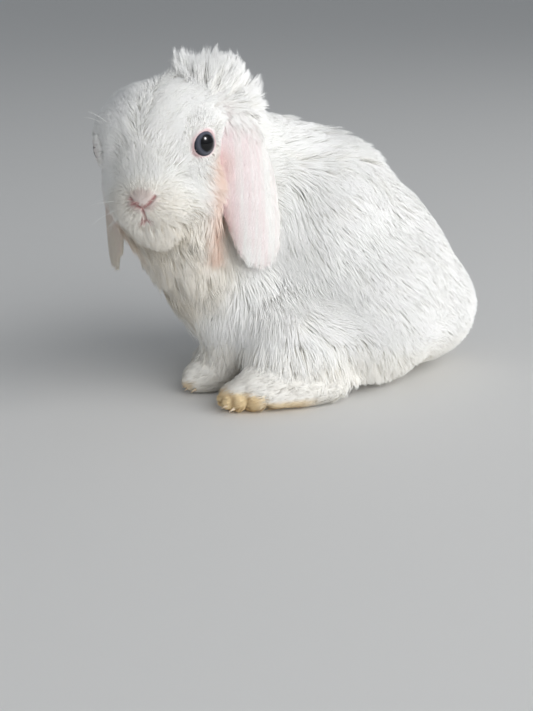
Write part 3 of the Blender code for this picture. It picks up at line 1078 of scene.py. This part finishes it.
def eye_material(side):
    shader = Shader("eye_" + side)
    out = eye_axes(side)[2]
    centred = shader.node("ShaderNodeVectorMath", {"operation": "SUBTRACT"},
                          {0: shader.place(), 1: tuple(eye_at[side] * MM)})
    height = shader.node("ShaderNodeVectorMath", {"operation": "DOT_PRODUCT"},
                         {0: centred, 1: tuple(out)}, "Value")
    cosine = height * (1 / (EYE_RADIUS * MM))
    fibres = shader.noise(900.0, 2.0)
    level = cosine + (fibres - 0.5) * 0.03
    # From the iris's dark edge in to the pupil. Each stop is the cosine of the turn from the way the eye looks.
    stops = [
        (0.70, (0.01, 0.01, 0.016, 1)),
        (0.79, (0.05, 0.054, 0.072, 1)),
        (0.87, (0.095, 0.10, 0.13, 1)),
        (0.915, (0.05, 0.054, 0.072, 1)),
        (0.936, (0.012, 0.013, 0.018, 1)),
        (0.95, (0.002, 0.002, 0.003, 1)),
    ]
    colour = shader.node("ShaderNodeValToRGB", {"stops": stops}, {"Fac": level})
    shader.set(Base_Color=colour, Roughness=0.25, Specular_IOR_Level=0.2)
    shader.set(Coat_Weight=0.5, Coat_IOR=1.38, Coat_Roughness=0.02)
    return shader.material


def eye_piece(side):
    """The ball, bulging at the cornea."""
    work = bmesh.new()
    bmesh.ops.create_uvsphere(work, u_segments=64, v_segments=40, radius=EYE_RADIUS)
    for vert in work.verts:
        vert.co += Vector((0, 0, CORNEA * float(ease((vert.co.z / EYE_RADIUS - 0.6) / 0.4))))
    turn = Matrix(eye_axes(side).T.tolist()).to_4x4()
    bmesh.ops.transform(work, matrix=Matrix.Scale(MM, 4) @ Matrix.Translation(eye_at[side]) @ turn, verts=work.verts)
    bmesh.ops.recalc_face_normals(work, faces=work.faces)
    mesh = bpy.data.meshes.new("eyeball_" + side)
    work.to_mesh(mesh)
    work.free()
    mesh.shade_smooth()
    mesh.materials.append(eye_material(side))
    return new_object("eyeball_" + side, mesh)


# ---------------------------------------------------------------- pieces
skin.materials.clear()
skin.materials.append(skin_material())
skin.shade_smooth()
skin.name = "skin"
skin_piece = new_object("skin", skin)
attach(skin_piece, "root")
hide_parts(*FLESH, "ear_left", "ear_right")
fur = coat_material()
for piece, slot in coat_pieces():
    piece.data.materials.append(fur)
    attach(piece, "root")
nails = claws()
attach(nails, "root")
for side in SIDES:
    ball = eye_piece(side)
    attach(ball, "root")
    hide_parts("eye_" + side)
bpy.data.meshes.remove(hull)

# ---------------------------------------------------------------- stage, light and camera
CAMERA_AZIMUTH = 70.0
CAMERA_HEIGHT = 12.0
CAMERA_TARGET = (12.5, 0.3, 59.0)
CAMERA_AWAY = 490.0
CAMERA_LENS = 62.0
CAMERA_YAW = 1.567
CAMERA_PITCH = -5.388
FLOOR_RADIUS = 12.0             # metres, as the lights' distances and sizes are
LIT_POINT = Vector((0, 0, 0.06))
LARGE = 1.0                     # a lamp of this size or more sheds light, and a smaller one only glints


def way_out(azimuth, elevation):
    """The way to a camera or lamp. Azimuth 0 is at the animal's front, and 90 at its left side."""
    a, e = math.radians(azimuth), math.radians(elevation)
    return Vector((math.sin(a) * math.cos(e), -math.cos(a) * math.cos(e), math.sin(e)))


def studio_floor():
    work = bmesh.new()
    bmesh.ops.create_circle(work, cap_ends=True, segments=96, radius=FLOOR_RADIUS)
    mesh = bpy.data.meshes.new("floor")
    work.to_mesh(mesh)
    work.free()
    shader = Shader("floor")
    grain = shader.noise(30.0, 2.0)
    colour = shader.mixed(grain * 0.1, (0.74, 0.735, 0.725, 1), (0.70, 0.695, 0.685, 1))
    shader.set(Base_Color=colour, Roughness=0.8)
    mesh.materials.append(shader.material)
    floor = new_object("floor", mesh)


def softbox(name, azimuth, elevation, distance, size, power, colour):
    light = bpy.data.lights.new(name, "AREA")
    light.shape = "SQUARE"
    light.size = size
    light.energy = power
    light.color = colour
    lamp = new_object(name, light)
    way = way_out(azimuth, elevation)
    lamp.location = LIT_POINT + way * distance
    lamp.rotation_mode = "QUATERNION"
    lamp.rotation_quaternion = way.to_track_quat("Z", "Y")
    lamp.visible_glossy = size < LARGE
    lamp.visible_diffuse = size >= LARGE


def camera():
    data = bpy.data.cameras.new("camera")
    data.lens = CAMERA_LENS
    data.clip_start = 0.01
    obj = new_object("camera", data)
    back = way_out(CAMERA_AZIMUTH, CAMERA_HEIGHT)
    obj.location = (Vector(CAMERA_TARGET) + back * CAMERA_AWAY) * MM
    obj.rotation_mode = "QUATERNION"
    yaw = Quaternion((0, 1, 0), math.radians(CAMERA_YAW))
    pitch = Quaternion((1, 0, 0), math.radians(CAMERA_PITCH))
    obj.rotation_quaternion = back.to_track_quat("Z", "Y") @ yaw @ pitch
    bpy.context.scene.camera = obj


def world():
    sky = bpy.data.worlds.new("studio")
    sky.use_nodes = True
    sky.node_tree.nodes["Background"].inputs["Color"].default_value = (0.285, 0.30, 0.315, 1)
    bpy.context.scene.world = sky


studio_floor()
world()
softbox("key", 123, 15, 1.5, 2.4, 42, (1.0, 1.0, 0.995))
softbox("glint", 132, 34, 1.0, 0.2, 7, (1, 1, 1))
camera()
bpy.context.scene.view_settings.view_transform = "Standard"
bpy.context.scene.cycles.diffuse_bounces = 12
